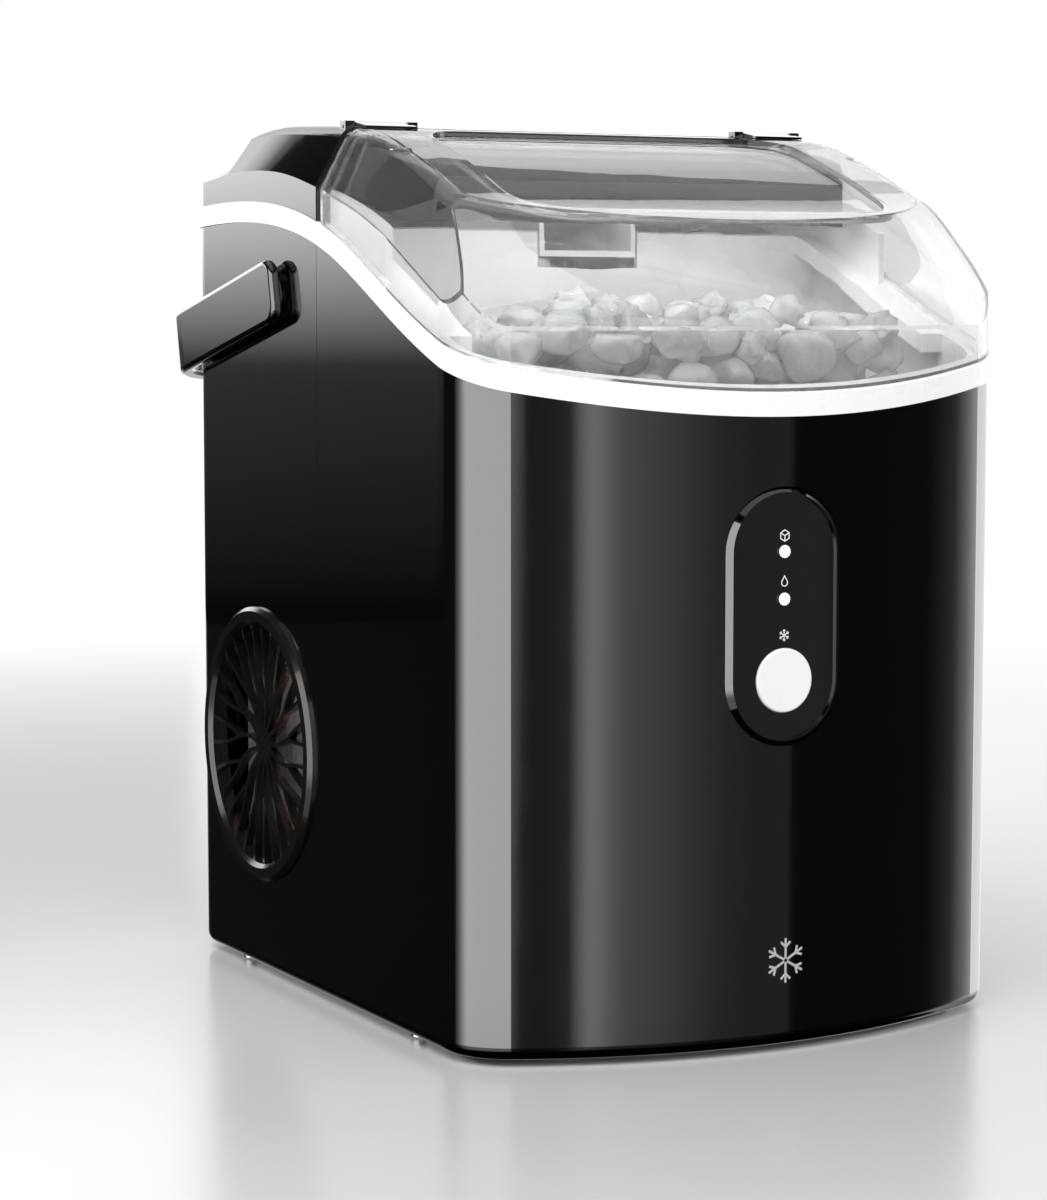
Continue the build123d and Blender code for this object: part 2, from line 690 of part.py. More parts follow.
def freezer_barrel():
    with BuildPart() as barrel:
        with BuildSketch(Plane.XY.offset(FREEZER_Z)):
            with Locations((0, COLUMN_Y)):
                Circle(FREEZER_R)
                Circle(BARREL_BORE, mode=Mode.SUBTRACT)
        extrude(amount=FREEZER_HEIGHT)
        with Locations(Location((0, COLUMN_Y - FREEZER_R + 3, FREEZER_Z + 8), (90, 0, 0))):
            Cylinder(3, 10, mode=Mode.SUBTRACT)
    save(barrel, "freezer_barrel")


def freezer_coil():
    """Refrigerant tube wound on the barrel, shown turn by turn."""
    with BuildPart() as coil:
        for turn in range(9):
            with Locations((0, COLUMN_Y, FREEZER_Z + 22 + 9 * turn)):
                Torus(FREEZER_R + 3.1, 3)
    save(coil, "freezer_coil")


def insulation_jacket():
    with BuildPart() as jacket:
        with BuildSketch(Plane.XY.offset(FREEZER_Z + 16)):
            with Locations((0, COLUMN_Y)):
                Circle(36)
                Circle(FREEZER_R + 6.4, mode=Mode.SUBTRACT)
        extrude(amount=86)
    save(jacket, "insulation_jacket")


def auger():
    """Freezing screw: shaft with a helical flight."""
    flight_r = BARREL_BORE - 0.4
    core = 8.0
    with BuildPart() as screw:
        with Locations((0, COLUMN_Y, GEARBOX_TOP + 1)):
            Cylinder(core, FREEZER_Z + FREEZER_HEIGHT - GEARBOX_TOP - 2,
                     align=(Align.CENTER, Align.CENTER, Align.MIN))
        with Locations((0, COLUMN_Y, FREEZER_Z + FREEZER_HEIGHT - 2)):
            Cylinder(4, 14, align=(Align.CENTER, Align.CENTER, Align.MIN))
        with Locations((0, COLUMN_Y, GEARBOX_TOP - 20)):
            Cylinder(5, 22, align=(Align.CENTER, Align.CENTER, Align.MIN))
        start = FREEZER_Z + 8
        with BuildLine():
            path = Helix(pitch=22, height=88, radius=(core - 1 + flight_r) / 2, center=(0, COLUMN_Y, start))
        with BuildSketch(Plane(origin=path @ 0, x_dir=(1, 0, 0), z_dir=path % 0)):
            Rectangle(flight_r - core + 1, 3)
        sweep(path=path, is_frenet=True)
    save(screw, "auger")


def gear_motor():
    with BuildPart() as drive:
        with BuildSketch(Plane.XY.offset(GEARBOX_TOP - 30)):
            with Locations((10, COLUMN_Y)):
                RectangleRounded(78, 62, 10)
        extrude(amount=30)
        with Locations((26, COLUMN_Y, GEARBOX_TOP - 30)):
            Cylinder(18, 52, align=(Align.CENTER, Align.CENTER, Align.MAX))
        with Locations((0, COLUMN_Y, GEARBOX_TOP)):
            Cylinder(5 + RUNNING_CLEARANCE, 21 * 2, mode=Mode.SUBTRACT)
    save(drive, "gear_motor")


def freezer_stand():
    """Bracket between gearbox and barrel with the lower seal seat."""
    with BuildPart() as stand:
        with BuildSketch(Plane.XY.offset(GEARBOX_TOP)):
            with Locations((0, COLUMN_Y)):
                Circle(28)
                Circle(8 + 0.5, mode=Mode.SUBTRACT)
        extrude(amount=FREEZER_Z - GEARBOX_TOP)
    save(stand, "freezer_stand")


def drive_bracket():
    """Bent plate that stands on the base pan and carries the gearbox."""
    with BuildPart() as bracket:
        for x in (-27, 48):
            with Locations((x, COLUMN_Y, 7.5)):
                Box(2, 62, GEARBOX_TOP - 30 - 7.5, align=(Align.CENTER, Align.CENTER, Align.MIN))
        with Locations((10, COLUMN_Y - 28, 7.5)):
            Box(72, 2, GEARBOX_TOP - 30 - 7.5, align=(Align.CENTER, Align.CENTER, Align.MIN))
    save(bracket, "drive_bracket")


def compressor():
    with BuildPart() as pot:
        with Locations((COMPRESSOR_X, COMPRESSOR_Y, 16)):
            Cylinder(COMPRESSOR_R, 96, align=(Align.CENTER, Align.CENTER, Align.MIN))
        fillet(pot.edges().filter_by(GeomType.CIRCLE), 18)
        with Locations((COMPRESSOR_X, COMPRESSOR_Y, 62)):
            Cylinder(COMPRESSOR_R + 2, 5)
        with BuildSketch(Plane.XY.offset(14)):
            with Locations((COMPRESSOR_X, COMPRESSOR_Y)):
                RectangleRounded(104, 70, 8)
                with GridLocations(86, 54, 2, 2):
                    Circle(4, mode=Mode.SUBTRACT)
        extrude(amount=3)
    save(pot, "compressor")


def compressor_mounts():
    with BuildPart() as mounts:
        with Locations((COMPRESSOR_X, COMPRESSOR_Y, 7.5)):
            with GridLocations(86, 54, 2, 2):
                Cylinder(7, 6.5, align=(Align.CENTER, Align.CENTER, Align.MIN))
                Cylinder(4, 12, align=(Align.CENTER, Align.CENTER, Align.MIN))
    save(mounts, "compressor_mounts")


def condenser_tube():
    """Serpentine copper tube: straight rows joined by half-round bends."""
    front_y, back_y = y_at(168), y_at(254)
    low_z = VENT_Z - TUBE_PITCH * (TUBE_ROWS - 1) / 2
    with BuildPart() as tube:
        with BuildLine():
            for row in range(TUBE_ROWS):
                z = low_z + TUBE_PITCH * row
                Line((CONDENSER_X, front_y, z), (CONDENSER_X, back_y, z))
                if row < TUBE_ROWS - 1:
                    end_y = back_y if row % 2 == 0 else front_y
                    bulge = 8 if row % 2 == 0 else -8
                    ThreePointArc((CONDENSER_X, end_y, z), (CONDENSER_X, end_y + bulge, z + TUBE_PITCH / 2),
                                  (CONDENSER_X, end_y, z + TUBE_PITCH))
        with BuildSketch(Plane(origin=(CONDENSER_X, front_y, low_z), z_dir=(0, 1, 0))):
            Circle(3)
        sweep()
    save(tube, "condenser_tube")


def condenser_fins():
    with BuildPart() as fins:
        for index in range(17):
            with BuildSketch(Plane.XZ.offset(-y_at(171 + 5 * index))):
                with Locations((CONDENSER_X, VENT_Z)):
                    Rectangle(18, 100)
                    with GridLocations(1, TUBE_PITCH, 1, TUBE_ROWS):
                        Circle(3.05, mode=Mode.SUBTRACT)
            extrude(amount=0.6)
    save(fins, "condenser_fins")


def fan_shroud():
    with BuildPart() as shroud:
        with BuildSketch(side_plane(FAN_X - 8)):
            with Locations((VENT_Y, VENT_Z)):
                RectangleRounded(104, 104, 8)
                Circle(45, mode=Mode.SUBTRACT)
        extrude(amount=16)
        with BuildSketch(side_plane(FAN_X + 5)):
            with Locations((VENT_Y, VENT_Z)):
                Circle(17)
                with PolarLocations(31.5, 4, start_angle=45):
                    Rectangle(31, 5)
                Circle(FAN_SHAFT_R + RUNNING_CLEARANCE, mode=Mode.SUBTRACT)
        extrude(amount=3)
        with Locations((FAN_X, VENT_Y, VENT_Z - 68)):
            Box(14, 70, 33)
    save(shroud, "fan_shroud")


def fan_motor():
    with BuildPart() as motor:
        with Locations(Location((FAN_X + 8, VENT_Y, VENT_Z), (0, 90, 0))):
            Cylinder(14, 12, align=(Align.CENTER, Align.CENTER, Align.MIN))
            Cylinder(FAN_SHAFT_R + RUNNING_CLEARANCE, 20, mode=Mode.SUBTRACT)
    save(motor, "fan_motor")


def fan():
    """Axial rotor with seven pitched blades."""
    with BuildPart() as rotor:
        with Locations(Location((FAN_X - 1.5, VENT_Y, VENT_Z), (0, 90, 0))):
            Cylinder(16, 11)
            Cylinder(FAN_SHAFT_R, 19, align=(Align.CENTER, Align.CENTER, Align.MIN))
        for blade in range(7):
            turn = 360 / 7 * blade
            centre = (FAN_X - 1.5, VENT_Y + 29 * cos(radians(turn)), VENT_Z + 29 * sin(radians(turn)))
            plane = Plane(origin=centre, x_dir=(0, cos(radians(turn)), sin(radians(turn))), z_dir=(1, 0, 0))
            with BuildSketch(plane.rotated((28, 0, 0))):
                RectangleRounded(29, 19, 4)
            extrude(amount=0.8, both=True)
    save(rotor, "fan")


def tube_along(points, bend, radius):
    """Round tube with rounded corners along a run of points."""
    with BuildPart() as pipe:
        with BuildLine() as route:
            FilletPolyline(*points, radius=bend)
        start = route.wire() @ 0
        heading = route.wire() % 0
        with BuildSketch(Plane(origin=start, z_dir=heading)):
            Circle(radius)
        sweep()
    return pipe.part


def refrigerant_lines():
    top = 112.3
    with BuildPart() as lines:
        add(tube_along(((COMPRESSOR_X - 20, COMPRESSOR_Y, top), (COMPRESSOR_X - 20, COMPRESSOR_Y, 118),
                        (-60, COMPRESSOR_Y, 118), (-60, y_at(156), 118), (CONDENSER_X, y_at(156), 132),
                        (CONDENSER_X, y_at(167.7), 132)), 5, 2.5))
        add(tube_along(((DRIER_X, DRIER_Y, 101.2), (DRIER_X, DRIER_Y, 112), (DRIER_X, y_at(158), 112),
                        (-40, y_at(158), 186), (-20, y_at(170), 186)), 4, 1.5))
        add(tube_along(((COMPRESSOR_X + 22, COMPRESSOR_Y, top), (COMPRESSOR_X + 22, COMPRESSOR_Y, 121),
                        (COMPRESSOR_X + 22, y_at(156), 121), (COMPRESSOR_X + 22, y_at(158), 240),
                        (20, y_at(170), 240)), 6, 3))
    save(lines, "refrigerant_lines")


def filter_drier():
    with BuildPart() as drier:
        with Locations((DRIER_X, DRIER_Y, 30)):
            Cylinder(8, 66, align=(Align.CENTER, Align.CENTER, Align.MIN))
        fillet(drier.edges().filter_by(GeomType.CIRCLE), 5)
        with Locations((DRIER_X, DRIER_Y, 94)):
            Cylinder(2.6, 7, align=(Align.CENTER, Align.CENTER, Align.MIN))
        with Locations((DRIER_X, DRIER_Y, 20)):
            Cylinder(2.6, 12, align=(Align.CENTER, Align.CENTER, Align.MIN))
    save(drier, "filter_drier")


def water_pump():
    with BuildPart() as pump:
        with Locations((PUMP_X, PUMP_Y, 96)):
            Cylinder(15, 26, align=(Align.CENTER, Align.CENTER, Align.MIN))
        with Locations((PUMP_X, PUMP_Y, 118)):
            Cylinder(19, 12, align=(Align.CENTER, Align.CENTER, Align.MIN))
        with Locations((PUMP_X, PUMP_Y, 130)):
            Cylinder(4, 5, align=(Align.CENTER, Align.CENTER, Align.MIN))
        with Locations(Location((PUMP_X, PUMP_Y + 18, 124), (90, 0, 0))):
            Cylinder(3, 8)
    save(pump, "water_pump")


def water_strainer():
    """Mesh cap over the pump inlet on the reservoir floor."""
    with BuildPart() as cap:
        with Locations((PUMP_X, PUMP_Y, 132.5)):
            Cylinder(12, 9, align=(Align.CENTER, Align.CENTER, Align.MIN))
            Cylinder(10, 7.5, align=(Align.CENTER, Align.CENTER, Align.MIN), mode=Mode.SUBTRACT)
        with BuildSketch(Plane.XY.offset(138)):
            with Locations((PUMP_X, PUMP_Y)):
                with GridLocations(4, 4, 4, 4):
                    Circle(1.1)
        extrude(amount=8, mode=Mode.SUBTRACT)
    save(cap, "water_strainer")


def water_hose():
    with BuildPart() as hose:
        add(tube_along(((PUMP_X, PUMP_Y + 22.1, 124), (PUMP_X, y_at(100), 124), (-8, y_at(160), 122),
                        (0, y_at(162), 168), (0, COLUMN_Y - FREEZER_R + 3.1, 168)), 8, 2.9))
    save(hose, "water_hose")


def level_probes():
    with BuildPart() as probes:
        with Locations(*[(x, y_at(130), LINER_FLOOR - 4) for x in (60, 72)]):
            Cylinder(1.5, 30, align=(Align.CENTER, Align.CENTER, Align.MIN))
        with Locations((66, y_at(130), LINER_FLOOR - 4)):
            Box(22, 10, 4, align=(Align.CENTER, Align.CENTER, Align.MIN))
    save(probes, "level_probes")


def power_board():
    with BuildPart() as board:
        with Locations((101, y_at(95), 66)):
            Box(1.6, 92, 84)
        with Locations((95, y_at(70), 84), (95, y_at(118), 90)):
            Box(10.4, 24, 22)
        with Locations((96, y_at(120), 48)):
            Box(8.4, 20, 16)
    save(board, "power_board")


def board_bracket():
    with BuildPart() as bracket:
        with Locations((103.8, y_at(95), 7.5)):
            Box(4, 96, 104, align=(Align.CENTER, Align.CENTER, Align.MIN))
        with Locations((103, y_at(95), 60)):
            Box(2.4, 70, 60, mode=Mode.SUBTRACT)
    save(bracket, "board_bracket")


def drain_spout():
    """Short pipe stub that empties the reservoir at the back."""
    with BuildPart() as spout:
        with Locations(Location((DRAIN_X, y_at(BODY_DEPTH), DRAIN_Z), (90, 0, 0))):
            Cylinder(DRAIN_R, 9, align=(Align.CENTER, Align.CENTER, Align.MIN))
        with Locations(Location((DRAIN_X, y_at(BODY_DEPTH) - 3, DRAIN_Z), (90, 0, 0))):
            Cylinder(DRAIN_R + 2, 4, align=(Align.CENTER, Align.CENTER, Align.MIN))
        with Locations(Location((DRAIN_X, y_at(BODY_DEPTH), DRAIN_Z), (90, 0, 0))):
            Cylinder(5, 40, mode=Mode.SUBTRACT)
    save(spout, "drain_spout")


def drain_cap():
    with BuildPart() as cap:
        with Locations(Location((DRAIN_X, y_at(BODY_DEPTH) + 3, DRAIN_Z), (90, 0, 0))):
            Cylinder(DRAIN_R + 1, 2.9, align=(Align.CENTER, Align.CENTER, Align.MIN))
        with Locations(Location((DRAIN_X, y_at(BODY_DEPTH) + 2, DRAIN_Z), (90, 0, 0))):
            Cylinder(5 - RUNNING_CLEARANCE, 9, align=(Align.CENTER, Align.CENTER, Align.MIN))
        with Locations((DRAIN_X, y_at(BODY_DEPTH) + 4, DRAIN_Z)):
            Box(4, 4, 14)
    save(cap, "drain_cap")


def cord_gland():
    with BuildPart() as gland:
        with Locations(Location((GLAND_X, y_at(BODY_DEPTH), GLAND_Z), (90, 0, 0))):
            Cylinder(GLAND_R, 7, align=(Align.CENTER, Align.CENTER, Align.MIN))
        with Locations(Location((GLAND_X, y_at(BODY_DEPTH) + 2, GLAND_Z), (90, 0, 0))):
            Cylinder(GLAND_R + 2, 2, align=(Align.CENTER, Align.CENTER, Align.MIN))
            Cylinder(3.6, 40, mode=Mode.SUBTRACT)
    save(gland, "cord_gland")


def build_all():
    case = hollow_case()
    front_shell(case)
    rear_shell(case)
    trim_band()
    base_pan()
    case_screws()
    feet()
    rear_top_cover()
    hinge_pins()
    lid_hinges()
    lid()
    handle()
    handle_bushes()
    vent_grille(-1, "vent_grille_left")
    vent_grille(1, "vent_grille_right")
    panel_bezel()
    panel_window()
    indicator_lenses()
    panel_carrier()
    control_board()
    button()
    bin_liner()
    ice_full_sensors()
    ice_basket()
    chute_cover()
    ice_chute()
    extruder_head()
    freezer_barrel()
    freezer_coil()
    insulation_jacket()
    auger()
    gear_motor()
    freezer_stand()
    drive_bracket()
    compressor()
    compressor_mounts()
    condenser_tube()
    condenser_fins()
    fan_shroud()
    fan_motor()
    fan()
    refrigerant_lines()
    filter_drier()
    water_pump()
    water_strainer()
    water_hose()
    level_probes()
    power_board()
    board_bracket()
    drain_spout()
    drain_cap()
    cord_gland()


build_all()
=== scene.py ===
import json
from math import cos, hypot, pi, radians, sin, sqrt
from random import Random

import bmesh
import bpy
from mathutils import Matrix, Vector, noise


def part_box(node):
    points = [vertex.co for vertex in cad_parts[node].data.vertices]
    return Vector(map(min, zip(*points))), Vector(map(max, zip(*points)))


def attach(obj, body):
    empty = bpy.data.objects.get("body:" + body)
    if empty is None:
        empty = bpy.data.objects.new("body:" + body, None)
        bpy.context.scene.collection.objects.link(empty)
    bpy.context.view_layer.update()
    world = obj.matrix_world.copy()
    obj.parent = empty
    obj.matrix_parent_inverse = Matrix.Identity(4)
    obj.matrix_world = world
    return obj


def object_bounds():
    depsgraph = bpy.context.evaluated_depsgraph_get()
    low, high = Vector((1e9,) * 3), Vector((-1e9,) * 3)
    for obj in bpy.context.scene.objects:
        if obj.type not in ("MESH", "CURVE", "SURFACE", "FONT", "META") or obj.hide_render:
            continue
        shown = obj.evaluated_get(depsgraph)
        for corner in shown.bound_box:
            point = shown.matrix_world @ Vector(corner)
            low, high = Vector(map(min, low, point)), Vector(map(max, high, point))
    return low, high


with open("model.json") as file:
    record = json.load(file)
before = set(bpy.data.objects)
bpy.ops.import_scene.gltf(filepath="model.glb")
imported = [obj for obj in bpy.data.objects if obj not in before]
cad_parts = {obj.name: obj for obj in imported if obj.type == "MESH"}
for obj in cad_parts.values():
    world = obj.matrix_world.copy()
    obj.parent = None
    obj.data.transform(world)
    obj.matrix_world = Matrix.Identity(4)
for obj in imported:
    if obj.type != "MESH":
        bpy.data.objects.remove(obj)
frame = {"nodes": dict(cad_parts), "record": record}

CAD_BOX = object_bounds()
MM = 0.001

# ---- places, all worked out from the frame -------------------------------------------------

PANEL_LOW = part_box("panel_window")[0]
BUTTON_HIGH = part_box("button")[1]
SHELL_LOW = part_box("front_shell")[0]
BASKET_LOW, BASKET_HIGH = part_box("ice_basket")
LID_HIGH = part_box("lid")[1]

# ---- camera --------------------------------------------------------------------------------

CAMERA_PLACE = (-0.5950, -1.1068, 0.2656)
CAMERA_DOWN = 5.278
CAMERA_TURN = 27.20
CAMERA_LENS = 96.09
SENSOR_WIDTH = 36.0
NEAREST_SEEN = 0.01


def make_camera():
    data = bpy.data.cameras.new("camera")
    data.lens = CAMERA_LENS
    data.sensor_width = SENSOR_WIDTH
    data.clip_start = NEAREST_SEEN
    camera = bpy.data.objects.new("camera", data)
    camera.location = CAMERA_PLACE
    camera.rotation_euler = (radians(90 - CAMERA_DOWN), 0, radians(-CAMERA_TURN))
    bpy.context.scene.collection.objects.link(camera)
    bpy.context.scene.camera = camera
    bpy.context.scene.view_settings.view_transform = "Standard"


# ---- node helpers --------------------------------------------------------------------------


class Nodes:
    """Short way to build one material's node tree."""

    def __init__(self, name):
        self.material = bpy.data.materials.new(name)
        self.material.use_nodes = True
        self.tree = self.material.node_tree
        self.tree.nodes.clear()
        self.out = self.tree.nodes.new("ShaderNodeOutputMaterial")
        self.coords = self.tree.nodes.new("ShaderNodeTexCoord").outputs["Object"]

    def add(self, kind, **inputs):
        """New node; inputs are set by name, and an output socket is linked."""
        node = self.tree.nodes.new(kind)
        for name, value in inputs.items():
            self.feed(node.inputs[name.replace("_", " ")], value)
        return node

    def feed(self, socket, value):
        if isinstance(value, bpy.types.NodeSocket):
            self.tree.links.new(value, socket)
        else:
            socket.default_value = value

    def noise(self, scale, detail=3.0, rough=0.5, stretch=None):
        vector = self.coords
        if stretch:
            vector = self.add("ShaderNodeMapping", Vector=vector, Scale=stretch).outputs["Vector"]
        made = self.add("ShaderNodeTexNoise", Vector=vector, Scale=scale, Detail=detail, Roughness=rough)
        return made.outputs["Fac"]

    def cells(self, scale, feature="F1"):
        made = self.add("ShaderNodeTexVoronoi", Vector=self.coords, Scale=scale)
        made.feature = feature
        return made.outputs["Distance"]

    def spread(self, value, low, high, start=0.3, end=0.7):
        """Map value from start..end to low..high."""
        node = self.add("ShaderNodeMapRange", Value=value)
        for name, number in (("From Min", start), ("From Max", end), ("To Min", low), ("To Max", high)):
            node.inputs[name].default_value = number
        return node.outputs["Result"]

    def tint(self, value, first, second):
        """Mix two colours by value."""
        node = self.tree.nodes.new("ShaderNodeMix")
        node.data_type = "RGBA"
        self.feed(node.inputs["Factor"], value)
        self.feed(node.inputs["A"], (*first, 1.0))
        self.feed(node.inputs["B"], (*second, 1.0))
        return node.outputs["Result"]

    def math(self, operation, first, second):
        node = self.tree.nodes.new("ShaderNodeMath")
        node.operation = operation
        self.feed(node.inputs[0], first)
        self.feed(node.inputs[1], second)
        return node.outputs[0]

    def bump(self, height, depth, strength=1.0):
        return self.add("ShaderNodeBump", Height=height, Distance=depth, Strength=strength).outputs["Normal"]

    def show(self, shader):
        self.tree.links.new(shader.outputs[0], self.out.inputs["Surface"])
        return self.material

    def finish(self, color, roughness, normal=None, **sockets):
        shader = self.add("ShaderNodeBsdfPrincipled")
        self.feed(shader.inputs["Base Color"], color)
        self.feed(shader.inputs["Roughness"], roughness)
        if normal is not None:
            self.feed(shader.inputs["Normal"], normal)
        for name, value in sockets.items():
            self.feed(shader.inputs[name.replace("_", " ")], value)
        return self.show(shader)


def scaled(color, factor):
    return tuple(min(1.0, channel * factor) for channel in color)


# ---- materials -----------------------------------------------------------------------------


def moulded(name, color, roughness, grain, depth, vary=0.08, **sockets):
    """Injection-moulded plastic: slight tone drift, fine texture and uneven gloss."""
    mat = Nodes(name)
    drift = mat.noise(14.0, 2.0)
    fine = mat.noise(grain, 3.0, 0.6)
    color_out = mat.tint(mat.spread(drift, 0.0, 1.0), scaled(color, 1 - vary), scaled(color, 1 + vary))
    gloss = mat.spread(mat.noise(60.0, 4.0, 0.6), roughness * 0.88, roughness * 1.14)
    return mat.finish(color_out, gloss, mat.bump(fine, depth, 0.6), **sockets)


def metal(name, color, roughness, stretch, depth=0.00002, vary=0.12):
    """Drawn, turned or brushed metal: fine lines along one axis."""
    mat = Nodes(name)
    lines = mat.noise(220.0, 4.0, 0.65, stretch)
    cloud = mat.noise(30.0, 3.0)
    color_out = mat.tint(mat.spread(lines, 0.0, 1.0), scaled(color, 1 - vary), scaled(color, 1 + vary))
    gloss = mat.spread(cloud, roughness * 0.75, roughness * 1.3)
    return mat.finish(color_out, gloss, mat.bump(lines, depth, 0.5), Metallic=1.0)


def foam():
    mat = Nodes("foam_cells")
    cell = mat.cells(900.0)
    color_out = mat.tint(mat.spread(cell, 0.0, 1.0, 0.0, 0.6), (0.02, 0.02, 0.021), (0.075, 0.075, 0.078))
    return mat.finish(color_out, 0.85, mat.bump(cell, 0.0004, 0.8))


def circuit():
    """Green solder mask with copper tracks just under it."""
    mat = Nodes("solder_mask")
    tracks = mat.add("ShaderNodeTexBrick", Vector=mat.coords, Scale=260.0)
    tracks.inputs["Mortar Size"].default_value = 0.03
    lines = tracks.outputs["Fac"]
    color_out = mat.tint(lines, (0.010, 0.095, 0.040), (0.030, 0.190, 0.085))
    return mat.finish(color_out, mat.spread(mat.noise(90.0), 0.28, 0.42), mat.bump(lines, 0.00003))


def clear_plastic(name, color, roughness):
    """Clear moulded lid: faint flow waves, and a trace of handling haze."""
    mat = Nodes(name)
    flow = mat.noise(9.0, 1.0)
    haze = mat.spread(mat.noise(45.0, 5.0, 0.65), roughness * 0.5, roughness * 1.6)
    color_out = mat.tint(mat.spread(flow, 0.0, 1.0), scaled(color, 0.995), scaled(color, 1.0))
    return mat.finish(color_out, haze, mat.bump(flow, 0.0004, 0.25), Transmission_Weight=1.0, IOR=1.46,
                      Alpha=0.9)


def ice_material():
    """Cloudy chewable ice: milky core, clearer wet skin, tiny trapped bubbles."""
    mat = Nodes("nugget_ice")
    cloud = mat.noise(70.0, 4.0, 0.6)
    bubbles = mat.cells(520.0)
    chips = mat.cells(210.0, "SMOOTH_F1")
    color_out = mat.tint(mat.spread(cloud, 0.0, 1.0), (0.92, 0.94, 0.955), (0.99, 0.995, 1.0))
    rough = mat.spread(mat.noise(120.0, 4.0, 0.6), 0.04, 0.28)
    first = mat.bump(chips, 0.0014, 0.8)
    normal = mat.add("ShaderNodeBump", Height=bubbles, Distance=0.0003, Strength=0.5, Normal=first)
    return mat.finish(color_out, rough, normal.outputs["Normal"], IOR=1.31, Transmission_Weight=0.60,
                      Subsurface_Weight=0.30, Subsurface_Radius=(0.006, 0.008, 0.010))


def glowing(name, color, strength):
    """Indicator lens: milky plastic with a faint inner glow."""
    mat = Nodes(name)
    cloud = mat.noise(600.0, 2.0)
    color_out = mat.tint(mat.spread(cloud, 0.0, 1.0), scaled(color, 0.93), color)
    return mat.finish(color_out, 0.25, None, Emission_Color=(*color, 1.0), Emission_Strength=strength)


def make_materials():
    """A procedural material for each of the record's slots, and for three special surfaces."""
    gloss = dict(Specular_IOR_Level=1.0, Coat_Weight=1.0, Coat_Roughness=0.03)
    return {
        "black_gloss_case": moulded("gloss_black", (0.0012, 0.0012, 0.0013), 0.09, 700.0, 0.000006, **gloss),
        "black_gloss_trim": moulded("gloss_trim", (0.0012, 0.0012, 0.0013), 0.08, 700.0, 0.000005, **gloss),
        "black_vent": moulded("vent_black", (0.006, 0.006, 0.0062), 0.20, 900.0, 0.00001, Coat_Weight=0.5),
        "white_trim": moulded("satin_white", (0.93, 0.93, 0.93), 0.28, 800.0, 0.00001, 0.01),
        "white_liner": moulded("liner_white", (0.90, 0.905, 0.91), 0.32, 700.0, 0.00001, 0.01),
        "white_button": moulded("key_white", (0.90, 0.90, 0.895), 0.30, 900.0, 0.00001, 0.01),
        "hood": moulded("hood_black", (0.0015, 0.0015, 0.0016), 0.16, 700.0, 0.00001,
                        Specular_IOR_Level=0.25),
        "panel": moulded("panel_glass", (0.0012, 0.0012, 0.0013), 0.015, 700.0, 0.000001, **gloss),
        "print": moulded("silver_print", (0.50, 0.50, 0.505), 0.35, 900.0, 0.000005, 0.03),
        "lens_white": glowing("lens_glow", (0.95, 0.97, 1.0), 0.35),
        "clear_lid": clear_plastic("clear_plastic", (0.985, 0.992, 0.995), 0.012),
        "basket_plastic": moulded("frosted_basket", (0.86, 0.88, 0.90), 0.35, 500.0, 0.00002, 0.02,
                                  Transmission_Weight=0.35, IOR=1.46),
        "black_inner_plastic": moulded("inner_black", (0.03, 0.03, 0.032), 0.45, 1200.0, 0.00003),
        "grey_inner_plastic": moulded("inner_grey", (0.45, 0.46, 0.47), 0.48, 1200.0, 0.00003),
        "rubber": moulded("foot_rubber", (0.022, 0.022, 0.022), 0.75, 1500.0, 0.00006),
        "hose_silicone": moulded("silicone", (0.78, 0.80, 0.80), 0.35, 600.0, 0.00002, 0.04,
                                 Transmission_Weight=0.25),
        "stainless": metal("turned_steel", (0.62, 0.62, 0.63), 0.28, (1.0, 1.0, 14.0)),
        "zinc_steel": metal("zinc_plate", (0.50, 0.51, 0.53), 0.38, (3.0, 1.0, 1.0)),
        "black_enamel": moulded("enamel", (0.012, 0.012, 0.012), 0.32, 300.0, 0.00004, Coat_Weight=0.3),
        "copper": metal("drawn_copper", (0.80, 0.42, 0.27), 0.26, (1.0, 1.0, 3.0)),
        "aluminium_fin": metal("mill_fin", (0.78, 0.78, 0.79), 0.35, (1.0, 12.0, 1.0)),
        "foam": foam(),
        "circuit_board": circuit(),
        "sensor_dark": moulded("sensor_tint", (0.03, 0.012, 0.022), 0.10, 600.0, 0.00001, Coat_Weight=1.0),
    }


# nodes that look different from the rest of their slot
SPECIAL = {"ice_chute_cover": "hood", "panel_window": "panel"}


def dress_nodes(materials):
    """Give every CAD node its slot's material, or its special one."""
    for row in frame["record"]["subparts"]:
        node = frame["nodes"][row["node"]]
        kind = SPECIAL.get(row["node"], row["material_slot"])
        for place in node.material_slots:
            place.material = materials[kind]


# ---- mesh helpers --------------------------------------------------------------------------


def new_piece(name, mesh, body, material, smooth=True):
    """Object from a finished bmesh, riding on a body."""
    data = bpy.data.meshes.new(name)
    bmesh.ops.recalc_face_normals(mesh, faces=mesh.faces)
    mesh.to_mesh(data)
    mesh.free()
    for face in data.polygons:
        face.use_smooth = smooth
    data.materials.append(material)
    piece = bpy.data.objects.new(name, data)
    bpy.context.scene.collection.objects.link(piece)
    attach(piece, body)
    return piece


RIBBON_SECTION = ((-1, 0), (-0.8, 1), (0.8, 1), (1, 0))
SHARPEST_MITRE = 0.35


